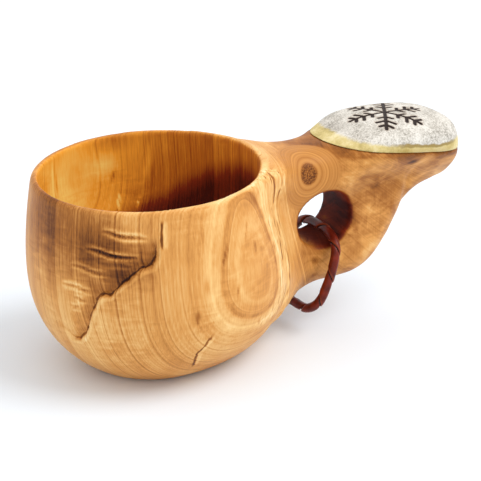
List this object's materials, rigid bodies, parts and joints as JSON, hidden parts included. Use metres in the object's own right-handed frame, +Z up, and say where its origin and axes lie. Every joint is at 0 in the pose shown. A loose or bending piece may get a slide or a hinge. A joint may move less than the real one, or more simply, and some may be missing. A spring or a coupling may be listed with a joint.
{
  "type": "carved wooden drinking cup",
  "caption": "Round carved birch-burl cup with a finger-hole handle, an antler thumb rest and a lace-wound leather loop that swings in the finger hole.",
  "frame": {"origin": "middle of the flat base, on the surface the cup stands on, under the middle of the bowl", "axes": "+Z up, +X from the bowl along the handle, Y across the handle and along the finger hole"},
  "size_m": [0.1865, 0.096, 0.0851],
  "materials": {
    "birch_burl": "oiled and polished, satin",
    "antler": "sanded and polished antler, satin",
    "dowel": "plain turned birch",
    "thong_leather": "waxed, dark",
    "lace_leather": "waxed and glossy, oxblood"
  },
  "bodies": {
    "cup": {"cup_body": "birch_burl", "antler_cap": "antler", "antler_pin_front": "dowel", "antler_pin_rear": "dowel"},
    "loop": {"loop_core": "thong_leather", "loop_wrap": "lace_leather"}
  },
  "joints": [
    {"name": "loop_swing", "type": "hinge", "parent": "cup", "child": "loop", "pos_m": [0.07601, 0, 0.04057], "axis": [0, 1, 0], "range_deg": [-95, 5]}
  ]
}
